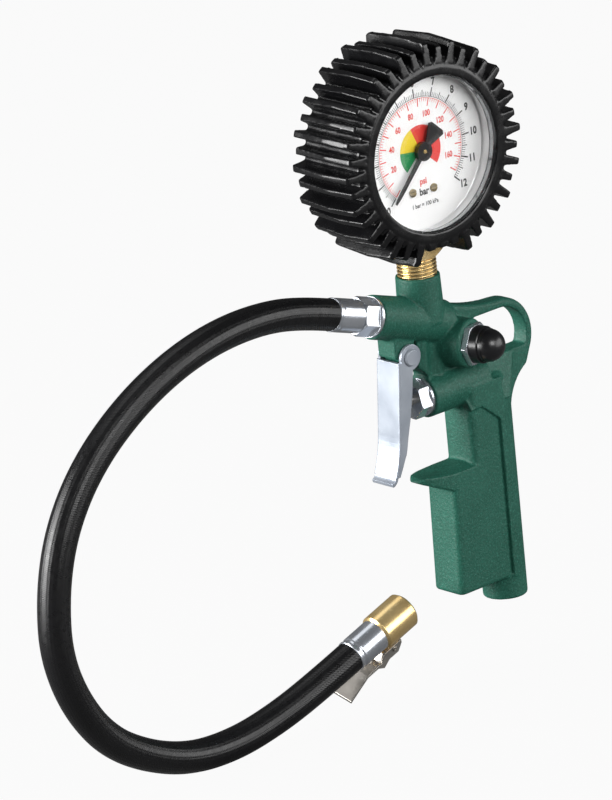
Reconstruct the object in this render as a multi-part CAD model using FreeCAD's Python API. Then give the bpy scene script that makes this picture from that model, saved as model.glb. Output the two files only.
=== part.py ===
import FreeCAD, Part
import math
import os
from FreeCAD import Vector as V

# A hand-held tyre inflator: die-cast pistol, pressure gauge in a finned rubber boot, trigger valve,
# release button, and a short hose that ends in a clip-on chuck. Millimetres, +Z up along the grip,
# -X towards the muzzle, -Y towards the side that the dial and the release button face.
# The origin is the mouth of the air inlet at the foot of the grip.

# Running and seating clearances
shaft_fit = 0.05
slide_fit = 0.1
seat_fit = 0.1

# Grip
inlet_r = 8.2
inlet_bore_r = 5.8
inlet_bore_depth = 12.0
inlet_lead = 0.8
air_passage_r = 2.6
grip_half_width = 7.6
grip_foot_z = 8.4
grip_front_x = -26.6
grip_foot_front_x = -27.9
palm_front_x = -16.0
grip_edge_r = 2.4
foot_edge_r = 1.2
band_proud = 0.8
panel_rear_x = -2.3
panel_top_z = 69.0
panel_shoulder_x = -10.9
panel_shoulder_z = 76.3
groove_width = 0.9
groove_depth = 0.8

# Finger rest on the front of the grip
rest_top_z = 56.0
rest_root_z = 48.4
rest_tip_x = -39.6
rest_tip_z = 54.4
rest_lip = 1.2
rest_crown_r = 24.0
rest_rear_x = -22.0

# Valve barrel, along X
valve_axis_z = 84.5
valve_barrel_r = 8.0
valve_barrel_front_x = -31.4
valve_bore_r = 5.0
valve_bore_rear_x = -6.0

# Gauge boss and outlet barrel, which cross at the hub
hub_x = -28.2
hub_z = 112.2
boss_r = 8.0
boss_root_r = 8.5
boss_height = 17.3
boss_bore_depth = 13.0
outlet_tilt = 18.2
outlet_r = 8.0
outlet_length = 24.9
outlet_tail = 11.0
outlet_tail_edge_r = 2.0
outlet_bore_r = 4.86
outlet_bore_depth = 10.0

# Web between the barrels, hanging eye and shoulder
web_half = 3.5
web_front_x = -34.5
web_corner_z = 96.3
rib_r = 3.0
rib_pitch = 6.6
rib_offset = 1.3
eye_x = 6.6
eye_z = 95.6
eye_outer_r = 15.2
eye_wall = 3.3
eye_floor_z = 91.0
eye_front_x = -6.5
eye_corner = 4.5
eye_edge = 1.0
strap_root_z = 117.4
strap_sag = 1.5
neck_x = 18.2
neck_z = 84.2
neck_foot_z = 70.0
neck_hollow = 2.2
shoulder_foot_z = 76.0
shoulder_front_x = -20.0
shoulder_rear_x = 12.5
shoulder_foot_rear_x = 5.2
shoulder_edge = 1.5

# Release valve, on an axis turned back from -Y
release_turn = 15.0
release_x = -18.1
release_z = 101.7
release_boss_r = 9.0
release_boss_length = 11.4
release_bore_r = 6.9
release_bore_floor = 2.6
release_chamber_r = 3.6
release_chamber_floor = -1.5
release_nut_af = 14.0
release_nut_thick = 2.4
release_nut_shank = 5.0
release_seat_thick = 2.0
cap_r = 6.0
cap_skirt_r = 6.2
cap_skirt_foot = 8.4
cap_skirt_top = 18.4
cap_wall = 1.4
cap_hollow_top = 15.0
release_stem_r = 1.5
release_head_r = 2.8
release_head_thick = 1.0
release_washer_thick = 0.6

# Trigger, a stamped channel on a rivet
pivot_x = -40.3
pivot_z = 102.7
lug_half = 4.5
lug_front_x = -46.2
lug_rear_x = -36.7
lug_nose_z = 102.9
lug_round_r = 3.4
trigger_half = 6.1
trigger_wall = 1.2
trigger_front_x = -46.0
trigger_top_drop = 1.0
trigger_lean = 5.9
trigger_edge_r = 0.8
trigger_bend_z = 74.3
trigger_kick_z = 60.6
trigger_kick = 2.0
trigger_kick_steps = 8
trigger_roll_r = 2.4
trigger_roll_angle = 75.0
ear_r = 4.7
rivet_r = 1.9
rivet_head_r = 3.3
rivet_head_thick = 0.9
rivet_head_edge = 0.6

# Trigger valve
valve_nut_af = 12.4
valve_flange_r = 7.0
valve_flange_thick = 1.2
valve_nut_length = 4.9
valve_nut_shank = 8.0
valve_gallery_r = 3.6
valve_gallery_start = 1.6
valve_gallery_end = 4.8
valve_port_r = 1.1
valve_stem_r = 1.75
valve_head_r = 3.7
valve_head_thick = 2.0
valve_washer_thick = 1.2
stem_gap = 0.25
nut_chamfer = 0.4

# Gauge
gauge_x = hub_x
gauge_z = 176.4
gauge_turn = -2.6
stem_square = 14.0
stem_square_z = 136.0
stem_square_reach = 4.0
stem_thread_r = 6.58
stem_bore_r = 1.5
stem_seal_bore_r = 3.0
stem_seal_thick = 1.2
socket_half = 5.0
socket_rear_y = 9.4
socket_top = 14.0
case_r = 30.0
case_wall = 1.2
case_back_y = 12.5
case_front_y = -13.0
case_edge = 2.0
dial_ledge = 2.0
lens_thick = 1.8
lens_step = 0.7
gasket_thick = 0.5
bezel_wall = 1.2
bezel_r = case_r + bezel_wall
bezel_lip_reach = 2.4
bezel_lip_r = case_r - bezel_lip_reach
bezel_front_y = -16.1
bezel_rear_y = -8.5
bezel_edge = 0.7
dial_y = -8.1
dial_thick = 0.5
dial_rim_gap = 0.6
dial_r = case_r - case_wall - dial_rim_gap
dial_hole_r = 2.0
dial_turn = 2.5
dial_screw_r = 1.5
dial_screw_thick = 0.6
dial_screw_shank_r = 0.85
dial_screw_circle_r = 15.2
pointer_zero = 225.0
pointer_reach = 21.6
pointer_tip_length = 3.0
pointer_tip_half = 0.35
pointer_half = 0.75
pointer_root_half = 1.0
pointer_tail = 10.3
pointer_tail_half = 4.1
pointer_tail_edge = 1.0
pointer_waist = 2.2
pointer_y = -9.9
pointer_thick = 0.35
pointer_hub_r = 3.4
pointer_hub_rear = 0.9
pointer_hub_front = 0.4
pointer_pin_proud = 0.2

# Movement of the gauge
shaft_r = 0.7
plate_front_y = -6.0
plate_gap = 6.0
plate_thick = 1.0
plate_half = 9.0
plate_top = 5.0
plate_bottom = -21.0
pillar_r = 1.2
pillar_x = 7.3
pillar_top = 2.0
pillar_bottom = -18.5
gear_module = 0.28
pinion_teeth = 12
pinion_margin = 1.2
sector_full_teeth = 96
sector_teeth = 13
sector_thick = 1.2
sector_gap = 2.0
sector_hub_r = 2.0
tail_length = 6.5
tail_half = 1.1
link_thick = 0.8
link_gap = 0.4
link_eye_r = 1.2
link_pin_r = 0.4
bourdon_r = 19.5
bourdon_wide = 6.0
bourdon_thin = 2.4
bourdon_y = 2.8
bourdon_start = 262.0
bourdon_sweep = 300.0
tip_post_r = 1.5

# Rubber boot
boot_wall = 3.0
boot_base_r = bezel_r + boot_wall
boot_rear_y = 14.4
boot_rear_lip_r = 25.0
boot_lip_gap = 0.3
boot_lip_r = bezel_lip_r + boot_lip_gap
boot_lip = 0.9
boot_lip_edge = 0.5
fin_count = 40
fin_root_half = 1.9
fin_tip_half = 1.15
fin_tip_edge = 0.4
fin_rear_r = boot_base_r + 4.2
fin_crest_r = boot_base_r + 5.4
fin_front_r = boot_base_r + 4.6
fin_step = 1.6
fin_rear_y = 14.9
fin_crest_y = -3.0
fin_front_y = -16.2
fin_corner = 0.8
neck_clearance = 1.2
neck_relief_half = 9.0

# Hose and its front fitting
hose_r = 5.8
hose_bore_r = 3.2
ferrule_r = 6.1
ferrule_length = 12.0
ferrule_crimp = 0.25
nipple_hex_af = 12.4
nipple_hex_length = 6.6
nipple_flange_r = 7.4
nipple_flange_thick = 1.2
nipple_thread_length = 8.0
nipple_tail_reach = 3.0
nipple_bore_r = 2.0

# Chuck
chuck_tilt = 18.9
chuck_start = V(-76.8, 0, -0.4)
chuck_roll = -19.0
end_ferrule_length = 13.4
chuck_r = 6.9
chuck_edge = 0.9
chuck_length = 15.9
chuck_bore_r = 1.6
chuck_mouth_r = 4.2
chuck_mouth_depth = 8.0
chuck_seal_thick = 2.4
core_pin_bore_r = 0.8
core_pin_length = 7.6
core_pin_sunk = 4.0
chuck_keel_half = 2.3
chuck_keel_rise = 1.4
chuck_pivot_x = 17.8
chuck_pivot_z = -8.2
chuck_lug_half_length = 2.4
chuck_pin_r = 1.0
chuck_pin_proud = 0.6
chuck_pin_dimple_r = 0.5
chuck_pin_dimple = 0.5
lever_half = 4.35
lever_wall = 1.0
lever_floor = 3.0
lever_bend_x = 3.2
lever_tab_reach = 9.8
lever_tab_drop = 5.0
lever_bead_x = 11.8
lever_bead_half = 3.0
lever_bead_drop = 2.2
lever_nose_x = 19.6
lever_claw_reach = 8.0
lever_claw_thick = 1.6
lever_claw_half = 2.2
lever_cheek_margin = 0.5
lever_cheek_rear_x = 12.7
lever_cheek_front_x = 21.6
lever_side_gap = 0.3
claw_slot_length = 3.6

# Springs
spring_wire_r = 0.4
valve_spring_r = 2.7
valve_spring_turns = 4
release_spring_r = 3.6
release_spring_turns = 3
lever_spring_wire_r = 0.25
lever_spring_r = 1.5
lever_spring_turns = 3
lever_spring_x = 8.0

# Route of the hose between the front ferrule and the end ferrule, chosen by hand (x, z)
hose_route = [
    (-84.5, 130.7),
    (-101.2, 133.6),
    (-119.8, 133.4),
    (-137.7, 130.1),
    (-154.2, 124.2),
    (-169.2, 116.2),
    (-182.4, 106.4),
    (-193.2, 94.7),
    (-201.6, 80.2),
    (-206.6, 62.6),
    (-206.7, 42.6),
    (-200.8, 23.1),
    (-189.2, 6.2),
    (-173.1, -6.4),
    (-154.0, -13.6),
    (-133.5, -14.9),
    (-113.5, -11.8),
    (-94.2, -6.4),
]

x_axis = V(1, 0, 0)
y_axis = V(0, 1, 0)
z_axis = V(0, 0, 1)
origin = V(0, 0, 0)
clear = 60.0  # longer than any hole or slot that is cut right through


def cylinder(r, start, direction, length):
    return Part.makeCylinder(r, length, start, direction)


def ring(r_out, r_in, start, direction, length):
    return cylinder(r_out, start, direction, length).cut(cylinder(r_in, start, direction, length))


def filled(corners):
    return Part.Face(Part.makePolygon(corners + corners[:1]))


def prism_xz(points, half):
    """Solid of a closed outline of (x, z) points, from y = -half to y = +half."""
    return filled([V(x, -half, z) for x, z in points]).extrude(V(0, 2 * half, 0))


def turned(profile, centre=origin, axis=y_axis):
    """Solid of revolution from a closed (radius, distance along the axis) outline."""
    frame = FreeCAD.Rotation(y_axis, axis)
    return filled([centre + frame.multVec(V(r, d, 0)) for r, d in profile]).revolve(centre, axis, 360)


def hexagon(across_flats, start, direction, length, turn=0.0):
    """Hexagonal prism along a direction, with its outer corners chamfered like a real nut."""
    corner_r = across_flats / math.sqrt(3)
    angles = [math.radians(60 * i + turn) for i in range(6)]
    prism = filled([V(corner_r * math.cos(a), corner_r * math.sin(a), 0) for a in angles])
    prism = prism.extrude(V(0, 0, length))
    top_r = across_flats / 2 + nut_chamfer
    prism = prism.common(Part.makeCone(top_r + length, top_r, length, origin, z_axis))
    prism.Placement = FreeCAD.Placement(start, FreeCAD.Rotation(z_axis, direction))
    return prism


def fuse_all(shapes):
    return shapes[0].fuse(shapes[1:]).removeSplitter()


def cut_all(shape, holes):
    for hole in holes:
        shape = shape.cut(hole)
    return shape


def edges_where(shape, test):
    return [e for e in shape.Edges if test(e.BoundBox)]


def arc_from(start, tangent, end):
    """Arc that leaves start along a unit tangent and ends at end."""
    chord = end - start
    along = V(chord).normalize()
    lean = math.acos(max(-1.0, min(1.0, tangent.dot(along))))
    side = (tangent - along * tangent.dot(along)).normalize()
    middle = start + chord * 0.5 + side * (chord.Length / 2 * math.tan(lean / 2))
    return Part.Arc(start, middle, end).toShape()


def least_gap(path, wire_r, turns):
    """Smallest air gap between the turns of a coil, measured on points at least half a turn apart."""
    half_turn = 20
    points = path.discretize(2 * turns * half_turn)
    gaps = [p.distanceToPoint(q) for i, p in enumerate(points) for q in points[i + half_turn:]]
    return min(gaps) - 2 * wire_r


def coil(mean_r, wire_r, start, direction, length, turns):
    """Compression spring: round wire along pairs of arcs that follow a helix, one pair to a half turn."""
    rise = (length - 2 * wire_r - slide_fit) / (2 * turns)
    edges = []
    tangents = []
    points = []
    for i in range(2 * turns + 1):
        side = 1 if i % 2 == 0 else -1
        points.append(V(side * mean_r, 0, wire_r + slide_fit / 2 + i * rise))
        tangents.append(V(0, side * mean_r * math.pi, rise).normalize())
    for p, t, q, u in zip(points, tangents, points[1:], tangents[1:]):
        v = q - p
        spread = 2 * (1 - t.dot(u))
        reach = (math.sqrt(v.dot(t + u) ** 2 + spread * v.dot(v)) - v.dot(t + u)) / spread
        joint = (p + t * reach + q - u * reach) * 0.5
        edges.append(arc_from(p, t, joint))
        edges.append(arc_from(joint, (q - u * reach - joint).normalize(), q))
    path = Part.Wire(edges)
    print("spring of %d turns, least gap to itself %.2f" % (turns, least_gap(path, wire_r, turns)))
    section = Part.Wire(Part.makeCircle(wire_r, points[0], tangents[0]))
    spring = path.makePipeShell([section], True, False)
    spring.Placement = FreeCAD.Placement(start, FreeCAD.Rotation(z_axis, direction))
    return spring


def outlet_direction():
    a = math.radians(outlet_tilt)
    return V(-math.cos(a), 0, math.sin(a))


def outlet_point(distance):
    return V(hub_x, 0, hub_z) + outlet_direction() * distance


def release_direction():
    a = math.radians(release_turn)
    return V(math.sin(a), -math.cos(a), 0)


def release_point(distance):
    return V(release_x, 0, release_z) + release_direction() * distance


def valve_point(distance):
    """Point on the axis of the trigger valve, counted back from the front face of its barrel."""
    return V(valve_barrel_front_x + distance, 0, valve_axis_z)


def on_chuck(shape):
    """Lay a piece that is drawn along +X, with the lever below, on the end of the hose."""
    roll = FreeCAD.Rotation(x_axis, -chuck_roll)
    lift = FreeCAD.Rotation(y_axis, -chuck_tilt)
    shape.Placement = FreeCAD.Placement(chuck_start, lift.multiply(roll)).multiply(shape.Placement)
    return shape


def grip_block(foot_front_x, top_front_x, foot_z, top_z, half):
    """Upright block of the grip with its two front edges rounded."""
    block = prism_xz([(foot_front_x, foot_z), (top_front_x, top_z), (0, top_z), (0, foot_z)], half)
    upright = edges_where(block, lambda b: b.ZLength > 1 and b.XMax < top_front_x + 0.1)
    return block.makeFillet(grip_edge_r, upright)


def finger_rest():
    """Tongue under the middle finger: a wedge from the side, a half ellipse from above, crowned on top."""
    wedge = prism_xz([(palm_front_x + 2, rest_top_z), (rest_tip_x + 2, rest_tip_z + rest_lip),
                      (rest_tip_x, rest_tip_z), (rest_tip_x + 2, rest_tip_z - rest_lip),
                      (grip_front_x, rest_root_z), (palm_front_x + 2, rest_root_z)], grip_half_width)
    plan = Part.Ellipse(V(rest_rear_x, 0, 0), rest_rear_x - rest_tip_x, grip_half_width)
    tongue = Part.Face(Part.Wire(plan.toShape())).extrude(V(0, 0, rest_top_z))
    crown = cylinder(rest_crown_r, V(rest_tip_x, 0, rest_top_z - rest_crown_r), x_axis, palm_front_x - rest_tip_x)
    return wedge.common(tongue).common(crown)


def raised_band():
    """Rear band and shoulder that stand proud of the flat side panels, with a slanted upper edge."""
    half = grip_half_width + band_proud
    outline = [(palm_front_x, panel_shoulder_z), (panel_shoulder_x, panel_shoulder_z), (panel_rear_x, panel_top_z),
               (panel_rear_x, grip_foot_z), (0, grip_foot_z), (0, valve_axis_z), (palm_front_x, valve_axis_z)]
    return prism_xz(outline, half).common(grip_block(palm_front_x, palm_front_x, grip_foot_z, valve_axis_z, half))


def panel_grooves():
    """Narrow groove along the rear and upper edges of both side panels."""
    foot = V(panel_rear_x - groove_width, -clear / 2, grip_foot_z + foot_edge_r)
    upright = Part.makeBox(groove_width, clear, panel_top_z - foot.z, foot)
    slant = prism_xz([(panel_shoulder_x, panel_shoulder_z), (panel_shoulder_x, panel_shoulder_z - groove_width),
                      (panel_rear_x, panel_top_z - groove_width), (panel_rear_x, panel_top_z)], clear / 2)
    core_half = grip_half_width - groove_depth
    core = Part.makeBox(clear, 2 * core_half, panel_shoulder_z, V(-clear + 1, -core_half, 0))
    return upright.fuse(slant).cut(core)


def web_outline():
    """Corners of the web in front of the shoulder, from its foot in the valve barrel up to the strap."""
    foot_x = valve_barrel_front_x + 0.3
    return [V(foot_x, -web_half, valve_axis_z), V(foot_x, -web_half, valve_axis_z + valve_barrel_r + 0.6),
            V(web_front_x, -web_half, web_corner_z), V(web_front_x, -web_half, hub_z),
            V(hub_x, -web_half, hub_z + boss_r), V(hub_x + boss_r - 0.5, -web_half, strap_root_z)]


def eye_plate():
    """Flat web that joins the barrels and runs on into the hanging eye behind the gauge."""
    below = math.radians(20)
    above = math.radians(35)
    eye = V(eye_x, -web_half, eye_z)
    top = eye + z_axis * eye_outer_r
    rear = eye + V(math.cos(above), 0, math.sin(above)) * eye_outer_r
    arc_end = eye + V(math.cos(below), 0, -math.sin(below)) * eye_outer_r
    grip_rear = V(inlet_r, -web_half, neck_foot_z)
    neck = V(neck_x, -web_half, neck_z)
    neck_mid = (neck + grip_rear) * 0.5 + V(-0.8, 0, 0.6) * neck_hollow
    web = web_outline()
    strap_mid = (web[-1] + top) * 0.5 - z_axis * strap_sag
    corners = [grip_rear, V(palm_front_x / 4, -web_half, neck_foot_z - 8), V(-20, -web_half, neck_foot_z + 10)] + web
    edges = [Part.LineSegment(p, q).toShape() for p, q in zip(corners, corners[1:])]
    edges.append(Part.Arc(web[-1], strap_mid, top).toShape())
    edges.append(Part.Arc(top, rear, arc_end).toShape())
    edges.append(Part.LineSegment(arc_end, neck).toShape())
    edges.append(Part.Arc(neck, neck_mid, grip_rear).toShape())
    plate = Part.Face(Part.Wire(edges)).extrude(V(0, 2 * web_half, 0))
    crown = edges_where(plate, lambda b: b.YLength < 0.01 and b.XMin > hub_x + boss_r - 1 and b.ZMin > eye_floor_z)
    return plate.makeChamfer(eye_edge, crown)


def eye_hole():
    """D-shaped hole of the hanging eye, flat at its floor."""
    inner_r = eye_outer_r - eye_wall
    centre = V(eye_x, -clear / 2, eye_z)
    drop = math.asin((eye_z - eye_floor_z) / inner_r)
    start = centre + z_axis * inner_r
    middle = centre + V(math.cos(0.5), 0, math.sin(0.5)) * inner_r
    end = centre + V(math.cos(drop), 0, -math.sin(drop)) * inner_r
    corners = [end, V(eye_front_x + eye_corner, -clear / 2, eye_floor_z),
               V(eye_front_x, -clear / 2, eye_floor_z + eye_corner), V(eye_front_x, -clear / 2, start.z), start]
    edges = [Part.LineSegment(p, q).toShape() for p, q in zip(corners, corners[1:])]
    edges.append(Part.Arc(start, middle, end).toShape())
    return Part.Face(Part.Wire(edges)).extrude(V(0, clear, 0))


def shoulder_section(z, front_x, rear_x, half):
    corner = shoulder_edge
    corners = [V(front_x, -half, z), V(rear_x - corner, -half, z), V(rear_x, -half + corner, z),
               V(rear_x, half - corner, z), V(rear_x - corner, half, z), V(front_x, half, z)]
    return Part.makePolygon(corners + corners[:1])


def shoulder():
    """Shoulder above the grip, narrowing from the grip's width to the width of the eye."""
    low = shoulder_section(shoulder_foot_z, palm_front_x, shoulder_foot_rear_x, grip_half_width + band_proud)
    high = shoulder_section(eye_floor_z, shoulder_front_x, shoulder_rear_x, web_half)
    return Part.makeLoft([low, high], True, True)


def web_ribs():
    """Two rounded columns on each side of the web."""
    edge = web_outline()
    room = prism_xz([(p.x, p.z) for p in edge[:4]] + [(hub_x + rib_pitch, hub_z), (hub_x + rib_pitch, valve_axis_z)],
                    web_half + rib_r)
    ribs = []
    for side in (-1, 1):
        for i in range(2):
            foot = V(web_front_x + rib_r + i * rib_pitch, side * rib_offset, valve_axis_z)
            ribs.append(cylinder(rib_r, foot, z_axis, hub_z - valve_axis_z).common(room))
    return ribs


def trigger_lug():
    """Lug under the outlet barrel that carries the trigger's rivet."""
    front = Part.makeBox(pivot_x - lug_front_x, 2 * lug_half, hub_z - lug_nose_z,
                         V(lug_front_x, -lug_half, lug_nose_z))
    rear = Part.makeBox(lug_rear_x - pivot_x + lug_round_r, 2 * lug_half, hub_z - pivot_z,
                        V(pivot_x - lug_round_r, -lug_half, pivot_z))
    eye = cylinder(lug_round_r, V(pivot_x, -lug_half, pivot_z), y_axis, 2 * lug_half)
    return front.fuse([rear, eye])


def body_bores():
    """Threaded holes and air passages, as solids to cut away."""
    boss_top = hub_z + boss_height
    out = outlet_direction()
    release = release_direction()
    return [
        cylinder(inlet_bore_r, origin, z_axis, inlet_bore_depth),
        Part.makeCone(inlet_bore_r + inlet_lead, inlet_bore_r, inlet_lead, origin, z_axis),
        cylinder(air_passage_r, origin, z_axis, valve_axis_z),
        cylinder(valve_bore_r, valve_point(0), x_axis, valve_bore_rear_x - valve_barrel_front_x),
        cylinder(air_passage_r, valve_point(0), x_axis, -valve_barrel_front_x),
        cylinder(air_passage_r, V(hub_x, 0, valve_axis_z), z_axis, boss_top - valve_axis_z),
        cylinder(stem_thread_r + shaft_fit, V(hub_x, 0, boss_top - boss_bore_depth), z_axis, boss_bore_depth),
        cylinder(outlet_bore_r, outlet_point(outlet_length - outlet_bore_depth), out, outlet_bore_depth),
        cylinder(air_passage_r, outlet_point(0), out, outlet_length),
        cylinder(release_bore_r, release_point(release_bore_floor), release, clear),
        cylinder(release_chamber_r, release_point(release_chamber_floor), release, clear),
        cylinder(air_passage_r / 2, V(hub_x, 0, release_z), x_axis, release_x - hub_x),
        cylinder(rivet_r + shaft_fit, V(pivot_x, -lug_half, pivot_z), y_axis, 2 * lug_half),
    ]


def pistol_body():
    grip = grip_block(grip_foot_front_x, grip_front_x, grip_foot_z, rest_top_z - rest_lip, grip_half_width)
    foot = edges_where(grip, lambda b: b.ZLength < 0.01 and b.ZMax < grip_foot_z + 0.1 and b.XMax < -1)
    grip = grip.makeFillet(foot_edge_r, foot)
    palm = grip_block(palm_front_x, palm_front_x, rest_root_z, valve_axis_z, grip_half_width)
    tube = cylinder(inlet_r, origin, z_axis, shoulder_foot_z)
    valve = cylinder(valve_barrel_r, valve_point(0), x_axis, -valve_barrel_front_x - valve_barrel_r / 2)
    outlet = cylinder(outlet_r, outlet_point(-outlet_tail), outlet_direction(), outlet_length + outlet_tail)
    tail = edges_where(outlet, lambda b: b.YLength > 2 * outlet_r - 0.1 and b.XMin > hub_x)
    outlet = outlet.makeFillet(outlet_tail_edge_r, tail)
    boss = Part.makeCone(boss_root_r, boss_r, boss_height, V(hub_x, 0, hub_z), z_axis)
    release = cylinder(release_boss_r, release_point(0), release_direction(), release_boss_length)
    rim = edges_where(release, lambda b: b.YMax < -release_boss_length / 2)
    release = release.makeChamfer(shoulder_edge / 2, rim)
    body = grip.fuse([palm, finger_rest(), tube, raised_band(), valve, outlet, boss, eye_plate(), shoulder(),
                      trigger_lug()] + web_ribs())
    body = body.cut(eye_hole()).fuse(release)
    return cut_all(body, [panel_grooves()] + body_bores()).removeSplitter()


def gauge_centre(y):
    return V(gauge_x, y, gauge_z)


def movement_rear_y():
    return plate_front_y + 2 * plate_thick + plate_gap


def gauge_stem():
    """Brass stem: threaded end in the boss, square for the wrench, and the socket inside the gauge."""
    foot = V(gauge_x, 0, hub_z + boss_height - boss_bore_depth + stem_seal_thick)
    thread = cylinder(stem_thread_r, foot, z_axis, stem_square_z - foot.z)
    half = stem_square / 2
    height = gauge_z - case_r + stem_square_reach - stem_square_z
    square = Part.makeBox(stem_square, stem_square, height, V(gauge_x - half, -half, stem_square_z))
    bevel = Part.makeCone(half + nut_chamfer, half + nut_chamfer + height, height,
                          V(gauge_x, 0, stem_square_z), z_axis)
    top_z = stem_square_z + height
    socket = Part.makeBox(2 * socket_half, socket_rear_y - movement_rear_y(), gauge_z - socket_top - top_z + 1,
                          V(gauge_x - socket_half, movement_rear_y(), top_z - 1))
    bore = cylinder(stem_bore_r, foot, z_axis, top_z - 1 - foot.z)
    return fuse_all([thread, square.common(bevel), socket]).cut(bore)


def stem_seal():
    floor = V(gauge_x, 0, hub_z + boss_height - boss_bore_depth)
    return ring(stem_thread_r - seat_fit, stem_seal_bore_r, floor, z_axis, stem_seal_thick)


def case_bore_r():
    return case_r - case_wall


def gauge_case():
    """Deep drawn steel cup with a ledge inside that carries the dial."""
    bore = case_bore_r()
    ledge_y = dial_y + dial_thick
    cup = turned([(0, case_back_y), (case_r - case_edge, case_back_y), (case_r, case_back_y - case_edge),
                  (case_r, case_front_y), (bore, case_front_y), (bore, ledge_y), (bore - dial_ledge, ledge_y),
                  (bore - dial_ledge, ledge_y + case_wall), (bore, ledge_y + case_wall),
                  (bore, case_back_y - case_wall - case_edge), (bore - case_edge, case_back_y - case_wall),
                  (0, case_back_y - case_wall)], gauge_centre(0))
    half = stem_square / 2 + seat_fit
    slot = Part.makeBox(2 * half, 2 * half, 2 * stem_square_reach,
                        V(gauge_x - half, -half, gauge_z - case_r - stem_square_reach))
    return cup.cut(slot)


def gauge_bezel():
    """Rolled ring round the mouth of the case; its inner edge holds the window down."""
    bore = case_r + shaft_fit
    seat_y = case_front_y - gasket_thick
    return turned([(bore, bezel_rear_y), (bezel_r - bezel_edge, bezel_rear_y), (bezel_r, bezel_rear_y - bezel_edge),
                   (bezel_r, bezel_front_y + bezel_edge), (bezel_r - bezel_edge, bezel_front_y),
                   (bezel_lip_r + bezel_edge, bezel_front_y), (bezel_lip_r, bezel_front_y + bezel_edge),
                   (bezel_lip_r, seat_y), (bore, seat_y)], gauge_centre(0))


def gauge_lens():
    """Clear window with a raised centre that fills the bezel's opening."""
    disc = cylinder(case_bore_r() - seat_fit, gauge_centre(case_front_y + lens_thick), -y_axis, lens_thick)
    centre = cylinder(bezel_lip_r - seat_fit, gauge_centre(case_front_y), -y_axis, lens_step)
    return disc.fuse(centre).removeSplitter()


def lens_gasket():
    return ring(case_r - seat_fit, bezel_lip_r + seat_fit, gauge_centre(case_front_y), -y_axis, gasket_thick)


def dial_direction(angle, length):
    a = math.radians(angle)
    return V(length * math.cos(a), 0, length * math.sin(a))


def screw_places():
    return [gauge_centre(dial_y) + dial_direction(angle + dial_turn, dial_screw_circle_r) for angle in (-113, -76)]


def gauge_dial():
    rear = gauge_centre(dial_y + dial_thick)
    plate = ring(dial_r, dial_hole_r, rear, -y_axis, dial_thick)
    holes = [cylinder(dial_screw_shank_r + shaft_fit, place + V(0, dial_thick, 0), -y_axis, dial_thick)
             for place in screw_places()]
    return cut_all(plate, holes)


def dial_screws():
    """Two slotted screws that hold the dial on the movement."""
    screws = []
    for place in screw_places():
        head = cylinder(dial_screw_r, place, -y_axis, dial_screw_thick)
        slot = Part.makeBox(2 * dial_screw_r, dial_screw_thick / 2, dial_screw_thick * 0.7,
                            place - V(dial_screw_r, dial_screw_thick, dial_screw_thick * 0.35))
        shank = cylinder(dial_screw_shank_r, place, y_axis, plate_front_y - dial_y)
        screws.append(head.cut(slot).fuse(shank).removeSplitter())
    return Part.makeCompound(screws)


def gauge_pointer():
    """Pointer with a long needle, a fan-shaped counterweight and a round hub, set at zero."""
    angle = pointer_zero + dial_turn
    along = dial_direction(angle, 1)
    across = dial_direction(angle + 90, 1)
    centre = gauge_centre(pointer_y)
    half_outline = [(-pointer_tail, pointer_tail_half - pointer_tail_edge),
                    (pointer_tail_edge - pointer_tail, pointer_tail_half), (-pointer_waist, pointer_root_half),
                    (pointer_waist, pointer_root_half), (pointer_reach - pointer_tip_length, pointer_half),
                    (pointer_reach, pointer_tip_half)]
    outline = half_outline + [(u, -v) for u, v in reversed(half_outline)]
    blade = filled([centre + along * u + across * v for u, v in outline]).extrude(V(0, -pointer_thick, 0))
    rear = centre + V(0, pointer_hub_rear, 0)
    hub = cylinder(pointer_hub_r, rear, -y_axis, pointer_hub_rear + pointer_thick + pointer_hub_front)
    return fuse_all([blade, hub]).cut(cylinder(shaft_r, rear, -y_axis, clear))


def gear_rim(teeth, full_teeth, first_angle):
    """Rim of a toothed arc as (radius, angle) points: tapered teeth, slightly thinner than their gaps."""
    pitch_r = gear_module * full_teeth / 2
    step = 360.0 / full_teeth
    points = []
    for i in range(teeth):
        middle = first_angle + i * step
        for radius, offset in ((pitch_r - 1.3 * gear_module, -0.34), (pitch_r + 0.8 * gear_module, -0.10),
                               (pitch_r + 0.8 * gear_module, 0.10), (pitch_r - 1.3 * gear_module, 0.34)):
            points.append((radius, middle + offset * step))
    return points


def polar_prism(points, centre, length):
    return filled([centre + dial_direction(angle, radius) for radius, angle in points]).extrude(V(0, length, 0))


def sector_point(y):
    """Arbor of the sector, straight below the pointer's arbor by the sum of the pitch radii."""
    return gauge_centre(y) - z_axis * (gear_module * (pinion_teeth + sector_full_teeth) / 2)


def sector_y():
    return plate_front_y + plate_thick + sector_gap


def pointer_shaft():
    """Arbor that carries the pointer, with its pinion between the movement plates."""
    front_y = pointer_y - pointer_thick - pointer_hub_front - pointer_pin_proud
    arbor = cylinder(shaft_r, gauge_centre(front_y), y_axis, movement_rear_y() - front_y)
    pinion = polar_prism(gear_rim(pinion_teeth, pinion_teeth, 270.0),
                         gauge_centre(plate_front_y + plate_thick + pinion_margin), plate_gap - 2 * pinion_margin)
    return fuse_all([arbor, pinion])


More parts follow.
